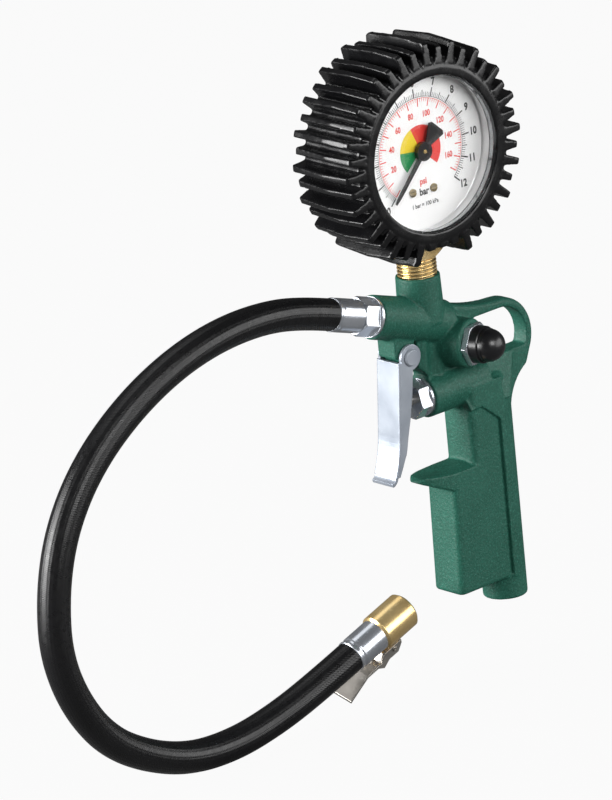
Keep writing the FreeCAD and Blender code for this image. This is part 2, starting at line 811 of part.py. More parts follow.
def sector_gear():
    """Toothed sector that drives the pinion, with a tail and a pin for the link."""
    step = 360.0 / sector_full_teeth
    last = 90.0 + 1.5 * step
    first = last - (sector_teeth - 1) * step
    inner_r = sector_hub_r * 0.8
    rim = gear_rim(sector_teeth, sector_full_teeth, first) + [(inner_r, last), (inner_r, first)]
    blade = polar_prism(rim, sector_point(sector_y()), sector_thick)
    hub = cylinder(sector_hub_r, sector_point(sector_y() - sector_thick / 2), y_axis, 2 * sector_thick)
    arbor = cylinder(shaft_r, sector_point(plate_front_y), y_axis, movement_rear_y() - plate_front_y)
    end = sector_point(sector_y()) - z_axis * tail_length
    tail = Part.makeBox(2 * tail_half, sector_thick, tail_length, end - x_axis * tail_half)
    eye = cylinder(tail_half, end, y_axis, sector_thick)
    pin_length = link_gap + 1.2 * link_thick
    pin = cylinder(link_pin_r, end - y_axis * pin_length, y_axis, pin_length)
    return fuse_all([blade, hub, arbor, tail, eye, pin])


def tube_tip(y):
    """Middle of the free end of the curved tube."""
    return gauge_centre(y) + dial_direction(bourdon_start - bourdon_sweep + 4, bourdon_r)


def movement_link():
    """Link from the tail of the sector towards the free end of the curved tube."""
    y = sector_y() - link_gap - link_thick
    near = sector_point(y) - z_axis * tail_length
    far = tube_tip(y)
    across = (far - near).normalize().cross(y_axis) * (link_eye_r * 0.6)
    bar = filled([near + across, far + across, far - across, near - across]).extrude(y_axis * link_thick)
    eyes = [cylinder(link_eye_r, p, y_axis, link_thick) for p in (near, far)]
    holes = [cylinder(link_pin_r + shaft_fit, p, y_axis, link_thick) for p in (near, far)]
    return cut_all(fuse_all([bar] + eyes), holes)


def movement_plates():
    """Front and rear plates of the movement with three pillars between them."""
    outline = [(-plate_half, plate_bottom), (plate_half, plate_bottom), (plate_half, 0),
               (plate_half / 2, plate_top), (-plate_half / 2, plate_top), (-plate_half, 0)]
    plates = []
    for y in (plate_front_y, plate_front_y + plate_thick + plate_gap):
        plate = prism_xz(outline, plate_thick / 2)
        plate.translate(gauge_centre(y + plate_thick / 2))
        holes = [cylinder(shaft_r + shaft_fit, point, y_axis, plate_thick)
                 for point in (gauge_centre(y), sector_point(y))]
        plates.append(cut_all(plate, holes))
    pillars = [cylinder(pillar_r, gauge_centre(plate_front_y) + V(x, plate_thick / 2, z), y_axis,
                        plate_gap + plate_thick)
               for x, z in ((-pillar_x, pillar_top), (pillar_x, pillar_top), (-pillar_x, pillar_bottom))]
    return fuse_all(plates + pillars)


def bourdon_tube():
    """Flattened tube bent round the movement from the socket, with a post at its free end for the link."""
    corners = [V(gauge_x + bourdon_r + dx, bourdon_y + dy, gauge_z)
               for dx, dy in ((-bourdon_thin / 2, 0.6), (-bourdon_thin / 2 + 0.6, 0), (bourdon_thin / 2 - 0.6, 0),
                              (bourdon_thin / 2, 0.6), (bourdon_thin / 2, bourdon_wide - 0.6),
                              (bourdon_thin / 2 - 0.6, bourdon_wide), (-bourdon_thin / 2 + 0.6, bourdon_wide),
                              (-bourdon_thin / 2, bourdon_wide - 0.6))]
    tube = filled(corners).revolve(gauge_centre(0), y_axis, bourdon_sweep)
    tube.rotate(gauge_centre(0), y_axis, -bourdon_start)
    post_y = sector_y() - link_gap / 2
    post = cylinder(tip_post_r, tube_tip(post_y), y_axis, bourdon_y + bourdon_wide / 2 - post_y)
    return fuse_all([tube, post])


def boot_fins(step):
    """Twenty tapered fins: a star-shaped prism cut to the turned outline of their crests."""
    rear_r = fin_rear_r + step
    front_r = fin_front_r + step
    blank = turned([(bezel_r + 1, boot_rear_y), (boot_base_r, fin_rear_y), (rear_r - fin_corner, fin_rear_y),
                    (rear_r, fin_rear_y - fin_corner), (fin_crest_r + step, fin_crest_y),
                    (front_r, fin_front_y + fin_corner), (front_r - fin_corner, fin_front_y),
                    (bezel_r + 1, bezel_front_y - boot_lip + 0.2)], gauge_centre(0))
    root_r = bezel_r - 2
    tip_r = fin_crest_r + step
    shared_r = bezel_r + 0.5
    turn = 360.0 / fin_count
    star = []
    for i in range(fin_count // 2):
        middle = 2 * i * turn + (0 if step else turn)
        half_angles = [(shared_r, math.degrees(fin_root_half / shared_r)),
                       (tip_r - fin_tip_edge, math.degrees(fin_tip_half / tip_r)),
                       (tip_r, math.degrees((fin_tip_half - fin_tip_edge) / tip_r))]
        star.append((root_r, middle - turn))
        star += [(r, middle - a) for r, a in half_angles]
        star += [(r, middle + a) for r, a in reversed(half_angles)]
    depth = fin_rear_y - bezel_front_y + 2 * boot_lip
    return polar_prism(star, gauge_centre(bezel_front_y - 2 * boot_lip), depth).common(blank)


def gauge_boot():
    """Rubber boot with long and short shock-absorbing fins all round its rim."""
    step_y = bezel_rear_y + seat_fit
    lip_y = bezel_front_y - boot_lip
    inner_r = case_r + seat_fit
    outer_r = bezel_r + seat_fit
    base = turned([(boot_rear_lip_r, boot_rear_y), (boot_base_r, boot_rear_y), (boot_base_r, lip_y + 2 * boot_lip),
                   (bezel_r, lip_y), (boot_lip_r + boot_lip_edge, lip_y), (boot_lip_r, lip_y + boot_lip_edge),
                   (boot_lip_r, bezel_front_y), (outer_r, bezel_front_y), (outer_r, step_y), (inner_r, step_y),
                   (inner_r, case_back_y + seat_fit), (boot_rear_lip_r, case_back_y + seat_fit)], gauge_centre(0))
    boot = base.fuse([boot_fins(fin_step), boot_fins(0)])
    half = stem_square / 2 + neck_clearance
    neck = Part.makeBox(2 * half, 2 * half, fin_crest_r, V(gauge_x - half, -half, gauge_z - case_r - fin_crest_r + 1))
    relief = Part.makeBox(2 * neck_relief_half, clear, clear,
                          V(gauge_x - neck_relief_half, -clear, gauge_z - boot_base_r - clear))
    return cut_all(boot, [neck, relief]).removeSplitter()


def trigger_front_line():
    """Outer face of the trigger's front wall from its top edge down to the rolled tip, as (x, z) points."""
    lean = math.tan(math.radians(trigger_lean))
    line = [(trigger_front_x - lean * trigger_top_drop, pivot_z - trigger_top_drop)]
    height = trigger_bend_z - trigger_kick_z
    for i in range(trigger_kick_steps + 1):
        share = i / trigger_kick_steps
        z = trigger_bend_z - height * share
        line.append((trigger_front_x - lean * (pivot_z - z) - trigger_kick * share ** 2, z))
    return line


def rolled_tip():
    """Tip of the trigger, rolled forward so that the finger meets a round edge."""
    kick = trigger_front_line()[-1]
    centre = (kick[0] - trigger_roll_r * 0.9, kick[1] + trigger_roll_r * 0.2)
    outer = []
    inner = []
    for i in range(6):
        a = math.radians(-trigger_roll_angle * i / 5)
        outer.append((centre[0] + (trigger_roll_r + trigger_wall) * math.cos(a),
                      centre[1] + (trigger_roll_r + trigger_wall) * math.sin(a)))
        inner.append((centre[0] + trigger_roll_r * math.cos(a), centre[1] + trigger_roll_r * math.sin(a)))
    return prism_xz(outer + inner[::-1], trigger_half - trigger_wall / 2)


def trigger():
    """Stamped channel: rounded ears on the rivet, a leaning front wall and a rolled tip."""
    front = trigger_front_line()
    bend_x, bend_z = front[1]
    kick_x, kick_z = front[-1]
    rear = [(kick_x + 2 * trigger_wall, kick_z), (bend_x + 2.2, bend_z - 7.5), (bend_x + 4.0, bend_z),
            (pivot_x - 2.9, bend_z + 6), (pivot_x - 1.0, pivot_z - 3 * ear_r), (pivot_x + 0.4, pivot_z - ear_r),
            (pivot_x + ear_r, pivot_z)]
    shell = prism_xz(front + rear, trigger_half)
    corners = edges_where(shell, lambda b: b.YLength < 0.01 and b.XMax < trigger_front_x and b.ZLength > 1)
    shell = shell.makeFillet(trigger_edge_r, corners)
    shell = shell.fuse(cylinder(ear_r, V(pivot_x, -trigger_half, pivot_z), y_axis, 2 * trigger_half))
    inner = [(x + trigger_wall, z) for x, z in front]
    hollow = prism_xz([(inner[0][0], pivot_z + clear)] + inner + [(inner[-1][0], kick_z - clear),
                      (pivot_x + clear, kick_z - clear), (pivot_x + clear, pivot_z + clear)],
                      trigger_half - trigger_wall)
    over = prism_xz([(trigger_front_x - clear, front[0][1]), (pivot_x + clear, front[0][1]),
                     (pivot_x + clear, pivot_z + clear), (trigger_front_x - clear, pivot_z + clear)],
                    trigger_half - trigger_wall)
    hole = cylinder(rivet_r + shaft_fit, V(pivot_x, -trigger_half, pivot_z), y_axis, 2 * trigger_half)
    return cut_all(shell, [hollow, over]).fuse(rolled_tip()).cut(hole).removeSplitter()


def trigger_rivet():
    """Rivet through the ears and the lug, with a wide low head on each side."""
    reach = trigger_half + slide_fit
    shapes = [cylinder(rivet_r, V(pivot_x, -reach, pivot_z), y_axis, 2 * reach)]
    for side in (-1, 1):
        base = V(pivot_x, side * reach, pivot_z)
        shapes.append(Part.makeCone(rivet_head_r, rivet_head_r - rivet_head_edge, rivet_head_thick, base,
                                    V(0, side, 0)))
    return fuse_all(shapes)


def valve_nut():
    """Hexagon gland in the valve barrel: it guides the stem, and air leaves by the gallery round its shank."""
    flange = cylinder(valve_flange_r, valve_point(0), -x_axis, valve_flange_thick)
    hexa = hexagon(valve_nut_af, valve_point(-valve_flange_thick), -x_axis, valve_nut_length, 15)
    shank = turned([(0, 0), (valve_bore_r - shaft_fit, 0), (valve_bore_r - shaft_fit, valve_gallery_start),
                    (valve_gallery_r, valve_gallery_start), (valve_gallery_r, valve_gallery_end),
                    (valve_bore_r - shaft_fit, valve_gallery_end), (valve_bore_r - shaft_fit, valve_nut_shank),
                    (0, valve_nut_shank)], valve_point(0), x_axis)
    guide = cylinder(valve_stem_r + shaft_fit, valve_point(-clear / 2), x_axis, clear)
    middle = (valve_gallery_start + valve_gallery_end) / 2
    seat = cylinder(air_passage_r, valve_point(middle), x_axis, clear)
    ports = [cylinder(valve_port_r, valve_point(middle) - axis * valve_bore_r, axis, 2 * valve_bore_r)
             for axis in (y_axis, z_axis)]
    return cut_all(fuse_all([flange, hexa, shank]), [guide, seat] + ports)


def valve_stem():
    """Stem that the trigger pushes, with the valve head on its inner end."""
    lean = math.tan(math.radians(trigger_lean))
    inner_face_x = trigger_front_x - lean * (pivot_z - valve_axis_z) + trigger_wall
    tip = V(inner_face_x + stem_gap, 0, valve_axis_z)
    head = valve_point(valve_nut_shank + valve_washer_thick)
    nose = Part.makeSphere(valve_stem_r, tip + x_axis * valve_stem_r)
    rod = cylinder(valve_stem_r, tip + x_axis * valve_stem_r, x_axis, head.x - tip.x - valve_stem_r)
    return fuse_all([nose, rod, cylinder(valve_head_r, head, x_axis, valve_head_thick)])


def valve_washer():
    """Rubber washer on the valve head; it closes on the inner end of the gland."""
    return ring(valve_head_r, valve_stem_r, valve_point(valve_nut_shank + shaft_fit), x_axis,
                valve_washer_thick - shaft_fit)


def valve_spring():
    start = valve_point(valve_nut_shank + valve_washer_thick + valve_head_thick)
    return coil(valve_spring_r, spring_wire_r, start, x_axis, valve_bore_rear_x - start.x, valve_spring_turns)


def release_nut():
    """Thin-walled gland nut on the release boss; the button slides in its bore."""
    face = release_point(release_boss_length)
    out = release_direction()
    hexa = hexagon(release_nut_af, face, out, release_nut_thick, 15)
    shank = cylinder(release_bore_r - shaft_fit, release_point(release_boss_length - release_nut_shank), out,
                     release_nut_shank)
    return fuse_all([hexa, shank]).cut(cylinder(cap_skirt_r + slide_fit, release_point(0), out, clear))


def release_seat():
    """Screwed disc across the bore of the boss; the valve head closes on its inner face."""
    return ring(release_bore_r - shaft_fit, release_stem_r + shaft_fit, release_point(release_bore_floor),
                release_direction(), release_seat_thick)


def release_button():
    """Hollow cap: a long skirt, a fine step and a round nose, with a socket for the stem."""
    out = release_direction()
    skirt = cylinder(cap_skirt_r, release_point(cap_skirt_foot), out, cap_skirt_top - cap_skirt_foot)
    top = release_point(cap_skirt_top)
    dome = Part.makeSphere(cap_r, top).common(cylinder(cap_r + 1, top, out, cap_r + 1))
    hollow = cylinder(cap_skirt_r - cap_wall, release_point(0), out, cap_hollow_top)
    socket = cylinder(release_stem_r, release_point(0), out, cap_hollow_top + release_head_r)
    return cut_all(fuse_all([skirt, dome]), [hollow, socket])


def release_head_point(distance):
    """Point on the release axis, counted inwards from the seat."""
    return release_point(release_bore_floor - distance)


def release_stem():
    """Stem pressed into the button, with the small valve head behind the seat."""
    out = release_direction()
    foot = release_washer_thick + shaft_fit + release_head_thick
    head = cylinder(release_head_r, release_head_point(foot), out, release_head_thick)
    rod_length = cap_hollow_top + release_head_r - release_bore_floor + foot
    return fuse_all([head, cylinder(release_stem_r, release_head_point(foot), out, rod_length)])


def release_washer():
    """Rubber washer between the release valve's head and its seat."""
    return ring(release_head_r, release_stem_r, release_head_point(release_washer_thick + shaft_fit),
                release_direction(), release_washer_thick)


def release_spring():
    foot = release_bore_floor + release_seat_thick
    return coil(release_spring_r, spring_wire_r, release_point(foot), release_direction(), cap_hollow_top - foot,
                release_spring_turns)


def ferrule_start():
    return outlet_length + nipple_flange_thick + nipple_hex_length


def hose_nipple():
    """Screwed nipple: thread in the outlet, round flange, hexagon, and a tail inside the hose."""
    out = outlet_direction()
    thread = cylinder(outlet_bore_r - shaft_fit, outlet_point(outlet_length - nipple_thread_length), out,
                      nipple_thread_length)
    flange = cylinder(nipple_flange_r, outlet_point(outlet_length), out, nipple_flange_thick)
    hexa = hexagon(nipple_hex_af, outlet_point(outlet_length + nipple_flange_thick), out, nipple_hex_length, 10)
    tail = cylinder(hose_bore_r - seat_fit, outlet_point(ferrule_start()), out, ferrule_length + nipple_tail_reach)
    bore = cylinder(nipple_bore_r, outlet_point(0), out, clear + ferrule_start())
    return fuse_all([thread, flange, hexa, tail]).cut(bore)


def ferrule(start, direction, length):
    """Crimped sleeve with a groove and a low bead near the hose's end."""
    crimp_r = ferrule_r - ferrule_crimp
    profile = [(hose_bore_r, 0), (ferrule_r, 0), (ferrule_r, length * 0.8), (crimp_r, length * 0.84),
               (crimp_r, length * 0.9), (ferrule_r, length * 0.94), (ferrule_r, length * 0.98),
               (crimp_r, length), (hose_bore_r, length)]
    return turned(profile, start, direction)


def front_ferrule():
    return ferrule(outlet_point(ferrule_start()), outlet_direction(), ferrule_length)


def end_ferrule():
    return on_chuck(ferrule(x_axis * end_ferrule_length, -x_axis, end_ferrule_length))


def hose_points():
    start = outlet_point(ferrule_start() + ferrule_length)
    return [start] + [V(x, 0, z) for x, z in hose_route] + [chuck_start]


def hose_path():
    """Straight runs joined by tangent arcs, each arc as large as its two runs allow."""
    points = hose_points()
    edges = []
    radii = []
    last = points[0]
    for before, corner, after in zip(points, points[1:], points[2:]):
        back = before - corner
        ahead = after - corner
        half_turn = (math.pi - back.getAngle(ahead)) / 2
        reach = 0.45 * min(back.Length, ahead.Length)
        radius = reach / math.tan(half_turn)
        start = corner + back.normalize() * reach
        end = corner + ahead.normalize() * reach
        inward = (back + ahead).normalize()
        middle = corner + inward * (radius / math.cos(half_turn) - radius)
        edges.append(Part.LineSegment(last, start).toShape())
        edges.append(Part.Arc(start, middle, end).toShape())
        radii.append(radius)
        last = end
    edges.append(Part.LineSegment(last, points[-1]).toShape())
    return Part.Wire(edges), radii


def hose():
    path, radii = hose_path()
    points = hose_points()
    first = points[1] - points[0]
    outer = Part.Wire(Part.makeCircle(hose_r, points[0], first))
    inner = Part.Wire(Part.makeCircle(hose_bore_r, points[0], first))
    tube = path.makePipeShell([outer], True, False).cut(path.makePipeShell([inner], True, False))
    section = math.pi * (hose_r ** 2 - hose_bore_r ** 2)
    print("hose radii", [round(r) for r in radii])
    print("hose length %.1f, volume over section times length %.4f"
          % (path.Length, tube.Volume / (section * path.Length)))
    return tube


def chuck_end():
    return end_ferrule_length + chuck_length


def chuck_body():
    """Brass body: mouth for the tyre valve, lug for the lever's pin, and a slot for the claw."""
    start = end_ferrule_length
    end = chuck_end()
    body = turned([(0, start), (chuck_r - chuck_edge, start), (chuck_r, start + chuck_edge),
                   (chuck_r, end - chuck_edge), (chuck_r - chuck_edge, end), (0, end)], origin, x_axis)
    reach = chuck_lug_half_length
    foot_z = chuck_pivot_z - lever_floor + lever_wall + lever_side_gap
    lug = prism_xz([(chuck_pivot_x - reach, 0), (chuck_pivot_x - reach, chuck_pivot_z),
                    (chuck_pivot_x - reach / 3, foot_z), (chuck_pivot_x + reach / 3, foot_z),
                    (chuck_pivot_x + reach, chuck_pivot_z), (chuck_pivot_x + reach, 0)],
                   lever_half - lever_wall - lever_side_gap)
    keel = prism_xz([(start, 0), (start, -chuck_r - chuck_keel_rise), (end - chuck_edge, -chuck_r),
                     (end - chuck_edge, 0)], chuck_keel_half)
    slot_half = lever_claw_half + lever_side_gap
    claw_slot = Part.makeBox(claw_slot_length, 2 * slot_half, chuck_r,
                             V(chuck_pivot_x + lever_claw_reach - claw_slot_length + 1, -slot_half, -2 * chuck_r + 2))
    holes = [
        cylinder(chuck_mouth_r, V(end - chuck_mouth_depth, 0, 0), x_axis, chuck_mouth_depth),
        Part.makeCone(chuck_mouth_r, chuck_mouth_r + chuck_edge, chuck_edge, V(end - chuck_edge, 0, 0), x_axis),
        cylinder(chuck_bore_r, V(start, 0, 0), x_axis, chuck_length),
        claw_slot,
        cylinder(chuck_pin_r, V(chuck_pivot_x, -lever_half, chuck_pivot_z), y_axis, 2 * lever_half),
    ]
    return on_chuck(cut_all(fuse_all([body, lug, keel]), holes))


def lever_floor_z():
    return chuck_pivot_z - lever_floor


def lever_line():
    """Outer face of the lever's floor from the tab's free end to its nose, as (x, z) points."""
    z = lever_floor_z()
    return [(lever_bend_x - lever_tab_reach, z - lever_tab_drop), (lever_bend_x, z),
            (lever_bead_x - lever_bead_half, z), (lever_bead_x, z - lever_bead_drop),
            (lever_bead_x + lever_bead_half, z), (lever_nose_x, z)]


def chuck_lever():
    """Sprung clip lever: two cheeks on the pin, a claw in front, a bead and a thumb tab beside the hose."""
    x = chuck_pivot_x
    line = lever_line()
    floor_z = lever_floor_z()
    inner_z = floor_z + lever_wall
    cheek_z = chuck_pivot_z + chuck_pin_r + lever_cheek_margin
    floor = prism_xz(line + [(u, w + lever_wall) for u, w in reversed(line)], lever_half)
    cheeks = prism_xz(line[1:] + [(lever_cheek_front_x, chuck_pivot_z), (lever_cheek_front_x, cheek_z),
                                  (lever_cheek_rear_x, cheek_z), (lever_bead_x - lever_wall, inner_z),
                                  (lever_bend_x + lever_bead_half, inner_z)], lever_half)
    cheeks = cheeks.cut(Part.makeBox(clear, 2 * (lever_half - lever_wall), clear,
                                     V(x - clear / 2, lever_wall - lever_half, inner_z - lever_bead_drop)))
    tip_x = x + lever_claw_reach
    tip_z = cheek_z + lever_claw_thick
    claw = prism_xz([(x + chuck_pin_r, floor_z), (lever_nose_x, floor_z), (tip_x, cheek_z - lever_wall),
                     (tip_x, tip_z), (tip_x - lever_claw_thick, tip_z),
                     (tip_x - lever_claw_thick, cheek_z - lever_cheek_margin), (x + chuck_pin_r, inner_z)],
                    lever_claw_half)
    hole = cylinder(chuck_pin_r + shaft_fit, V(x, -lever_half, chuck_pivot_z), y_axis, 2 * lever_half)
    return on_chuck(fuse_all([cheeks, floor, claw]).cut(hole))


def lever_pin():
    """Pin of the lever with a small dimple in each end."""
    reach = lever_half + chuck_pin_proud
    start = V(chuck_pivot_x, -reach, chuck_pivot_z)
    pin = cylinder(chuck_pin_r, start, y_axis, 2 * reach)
    dimples = [cylinder(chuck_pin_dimple_r, start, y_axis, chuck_pin_dimple),
               cylinder(chuck_pin_dimple_r, start + y_axis * (2 * reach), -y_axis, chuck_pin_dimple)]
    return on_chuck(cut_all(pin, dimples))


def lever_spring():
    """Small compression spring between the end ferrule and the lever."""
    foot_z = lever_floor_z() + lever_wall
    return on_chuck(coil(lever_spring_r, lever_spring_wire_r, V(lever_spring_x, 0, foot_z), z_axis,
                         -ferrule_r - foot_z, lever_spring_turns))


def mouth_floor():
    return V(chuck_end() - chuck_mouth_depth, 0, 0)


def chuck_seal():
    """Rubber seal at the bottom of the mouth."""
    return on_chuck(ring(chuck_mouth_r, chuck_bore_r + seat_fit, mouth_floor(), x_axis, chuck_seal_thick))


def chuck_core_pin():
    """Fixed hollow pin that opens the tyre valve's core."""
    return on_chuck(ring(chuck_bore_r, core_pin_bore_r, mouth_floor() - x_axis * core_pin_sunk, x_axis,
                         core_pin_length))


makers = [pistol_body, gauge_stem, stem_seal, gauge_case, gauge_bezel, gauge_lens, lens_gasket, gauge_dial,
          dial_screws, gauge_pointer, pointer_shaft, sector_gear, movement_link, movement_plates, bourdon_tube,
          gauge_boot, trigger, trigger_rivet, valve_nut, valve_stem, valve_washer, valve_spring, release_nut,
          release_seat, release_button, release_stem, release_washer, release_spring, hose_nipple, front_ferrule,
          hose, end_ferrule, chuck_body, chuck_lever, lever_pin, lever_spring, chuck_seal, chuck_core_pin]

gauge_makers = [gauge_stem, gauge_case, gauge_bezel, gauge_lens, lens_gasket, gauge_dial, dial_screws,
                gauge_pointer, pointer_shaft, sector_gear, movement_link, movement_plates, bourdon_tube, gauge_boot]

os.makedirs("parts", exist_ok=True)
for maker in makers:
    shape = maker()
    if maker in gauge_makers:
        shape.rotate(V(gauge_x, 0, 0), z_axis, gauge_turn)
    print(maker.__name__, "valid", shape.isValid(), "solids", len(shape.Solids), "volume %.1f" % shape.Volume)
    shape.exportStep("parts/%s.step" % maker.__name__)
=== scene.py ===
import math
import bmesh
import bpy
from mathutils import Matrix, Vector


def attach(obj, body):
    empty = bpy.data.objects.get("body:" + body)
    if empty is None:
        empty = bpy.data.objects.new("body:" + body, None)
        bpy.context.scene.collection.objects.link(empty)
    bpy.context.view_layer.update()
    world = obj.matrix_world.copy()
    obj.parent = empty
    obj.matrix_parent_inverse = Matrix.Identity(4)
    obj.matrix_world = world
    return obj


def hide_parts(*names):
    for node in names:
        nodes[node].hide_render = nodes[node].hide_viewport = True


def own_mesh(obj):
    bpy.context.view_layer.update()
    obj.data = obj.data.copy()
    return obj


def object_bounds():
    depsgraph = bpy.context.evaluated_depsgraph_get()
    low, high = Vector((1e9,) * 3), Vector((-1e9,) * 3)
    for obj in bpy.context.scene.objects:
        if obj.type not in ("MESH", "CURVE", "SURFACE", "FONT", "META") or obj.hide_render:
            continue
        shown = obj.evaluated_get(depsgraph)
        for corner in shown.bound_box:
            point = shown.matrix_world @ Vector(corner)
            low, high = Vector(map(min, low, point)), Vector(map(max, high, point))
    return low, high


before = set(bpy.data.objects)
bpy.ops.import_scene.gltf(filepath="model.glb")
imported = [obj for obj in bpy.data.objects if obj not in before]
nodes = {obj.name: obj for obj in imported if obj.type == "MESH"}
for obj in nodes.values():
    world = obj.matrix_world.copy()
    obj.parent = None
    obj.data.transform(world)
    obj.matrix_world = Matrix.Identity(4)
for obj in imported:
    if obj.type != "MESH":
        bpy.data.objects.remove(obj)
cad_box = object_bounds()
mm = 0.001

# Camera, fitted to the photograph's straight axes and circles
camera_turn = math.radians(-40.251)
camera_rise = math.radians(18.119)
camera_roll = math.radians(-5.729)
camera_place = Vector((-1.3964, -1.5484, 0.76276))
camera_lens = 274.1
camera_sensor = 36
camera_reach = 20

# Softboxes: name, place, width and height in metres, and power
light_target = (-0.09, 0, 0.1)
softboxes = (
    ("left_box", (-1.45, 0.7, 0.45), (1.1, 0.85), 60),
    ("front_box", (-0.45, -1.8, 1.0), (0.9, 0.8), 23),
    ("top_box", (-0.1, 0.5, 1.7), (0.9, 0.9), 4),
    ("right_box", (0.85, -1.2, 0.42), (1.5, 0.86), 17),
)
world_light = 0.06
floor_tone = 0.16
floor_glow = 0.95
floor_gap = 0.0005
floor_half_side = 6

# Gauge: its centre, its turn about the stem, and the dial's front face
gauge_centre = Vector((-0.0282, 0, 0.1764))
gauge_turn = math.radians(-2.6)
dial_front_y = -8.1 * mm
print_gap = 0.05 * mm
stem_axis_x = gauge_centre.x

# Dial print: angles in degrees from +X towards +Z, radii and widths in millimetres
dial_turn = 2.5
dial_foot = 270 - dial_turn
bar_zero = 225.0
bar_sweep = 270.0
bar_full = 12
psi_in_bar = 14.504
psi_full = 170
psi_step = 20
bar_line = (19.25, 19.42)
bar_tick_foot = 19.4
bar_whole_tick, bar_half_tick, bar_tenth_tick = (22.6, 0.5), (21.6, 0.32), (20.9, 0.2)
psi_line = (18.7, 18.9)
psi_tick_top = 18.8
psi_long_tick, psi_short_tick = (15.9, 0.42), (17.6, 0.2)
sector_radii = (2.2, 9.3)
sector_ends = (221, 171.5, 111, -44)

# Thread that shows on the brass stem
thread_r = 6.6 * mm
thread_pitch = 1.337 * mm
thread_depth = 0.6 * mm
thread_low = 128.6 * mm
thread_high = 136.0 * mm
thread_sides = 72
thread_rows_in_turn = 12
thread_crest_share = 0.2
thread_flank_share = 0.6
# Share of the depth past which the thread's root faces carry painted shade
thread_shade_share = 0.6

# Release valve: its axis, and the rubber ring's section as (mm along the axis, mm from it)
release_foot = Vector((-0.0181, 0, 0.1017))
release_direction = Vector((math.sin(math.radians(15)), -math.cos(math.radians(15)), 0))
ring_section = [(13.8, 6.35), (13.8, 6.85), (16.9, 6.75), (17.2, 6.5), (17.2, 6.35)]
ring_steps = 64

# Hose: its size, its ends and the points of its route in the XZ plane
hose_diameter = 11.6 * mm
hose_exit = Vector((-0.07066, 0, 0.12616))
hose_end = Vector((-0.0768, 0, -0.0004))
hose_route = [
    (-0.0845, 0.1307),
    (-0.1012, 0.1336),
    (-0.1198, 0.1334),
    (-0.1377, 0.1301),
    (-0.1542, 0.1242),
    (-0.1692, 0.1162),
    (-0.1824, 0.1064),
    (-0.1932, 0.0947),
    (-0.2016, 0.0802),
    (-0.2066, 0.0626),
    (-0.2080, 0.0422),
    (-0.2019, 0.0223),
    (-0.1901, 0.0051),
    (-0.1731, -0.0064),
    (-0.1540, -0.0136),
    (-0.1335, -0.0149),
    (-0.1135, -0.0118),
    (-0.0942, -0.0064),
]

# Softened copies: voxel, smoothing passes and share of faces kept. The body's sharp nooks are
# filled by ellipsoids, each given as its centre and half sizes in millimetres
soft_voxel = 0.4 * mm
casting_passes, casting_keep = 6, 0.35
boot_passes, boot_keep = 5, 0.4
nooks = [((-1.0, side * 3.6, 83.6), (4.6, 3.9, 2.6)) for side in (-1, 1)]

# Faces that meet at more than this many degrees keep a sharp edge
sharp_angle = 30

scene = bpy.context.scene
scene.view_settings.view_transform = "Standard"


# Objects


def link(obj):
    scene.collection.objects.link(obj)
    return obj


def mesh_object(name, bm):
    mesh = bpy.data.meshes.new(name)
    bm.to_mesh(mesh)
    bm.free()
    return link(bpy.data.objects.new(name, mesh))


def on_pistol(piece, stands_for=None):
    """Let a piece ride on the pistol body, in place of a CAD node if it is a finer copy of one."""
    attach(piece, "pistol")
    if stands_for:
        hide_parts(stands_for)


def keep_sharp(obj):
    obj.data.set_sharp_from_angle(angle=math.radians(sharp_angle))


def dress(names, material):
    """Give CAD nodes a material and smooth shading."""
    for name in names:
        mesh = nodes[name].data
        mesh.materials.clear()
        mesh.materials.append(material)
        mesh.shade_smooth()
        keep_sharp(nodes[name])


# Material nodes


def new_material(name, **values):
    """Material with one principled shader whose plain sockets are set from the keyword values."""
    material = bpy.data.materials.new(name)
    material.use_nodes = True
    shader = material.node_tree.nodes["Principled BSDF"]
    for socket, value in values.items():
        shader.inputs[socket.replace("_", " ")].default_value = value
    return material, shader


def add_node(owner, kind, **values):
    """Node of a material or world whose sockets or settings are set from the keyword values."""
    node = owner.node_tree.nodes.new(kind)
    for key, value in values.items():
        if key in node.inputs:
            node.inputs[key].default_value = value
        else:
            setattr(node, key, value)
    return node


def wire(owner, output, target):
    owner.node_tree.links.new(output, target)


def noise(material, scale, detail=2.0, roughness=0.5):
    """Noise fixed to the piece."""
    node = add_node(material, "ShaderNodeTexNoise", Scale=scale, Detail=detail, Roughness=roughness)
    place = add_node(material, "ShaderNodeTexCoord")
    wire(material, place.outputs["Object"], node.inputs["Vector"])
    return node.outputs["Fac"]


def remap(material, value, low, high, new_low, new_high):
    node = add_node(material, "ShaderNodeMapRange")
    sockets = ("From Min", "From Max", "To Min", "To Max")
    for socket, number in zip(sockets, (low, high, new_low, new_high)):
        node.inputs[socket].default_value = number
    wire(material, value, node.inputs["Value"])
    return node.outputs["Result"]


def blend_colours(material, factor, first, second):
    node = add_node(material, "ShaderNodeMix", data_type="RGBA")
    node.inputs[6].default_value = (*first, 1)
    node.inputs[7].default_value = (*second, 1)
    wire(material, factor, node.inputs["Factor"])
    return node.outputs[2]


def bump(material, shader, height, distance, strength, under=None):
    """Relief on top of an earlier normal, if there is one."""
    node = add_node(material, "ShaderNodeBump", Distance=distance, Strength=strength)
    wire(material, height, node.inputs["Height"])
    if under:
        wire(material, under, node.inputs["Normal"])
    wire(material, node.outputs["Normal"], shader.inputs["Normal"])
    return node.outputs["Normal"]


def rounded(material, radius):
    """Normal that rounds off sharp edges in the shading only."""
    return add_node(material, "ShaderNodeBevel", samples=6, Radius=radius).outputs["Normal"]


# Materials


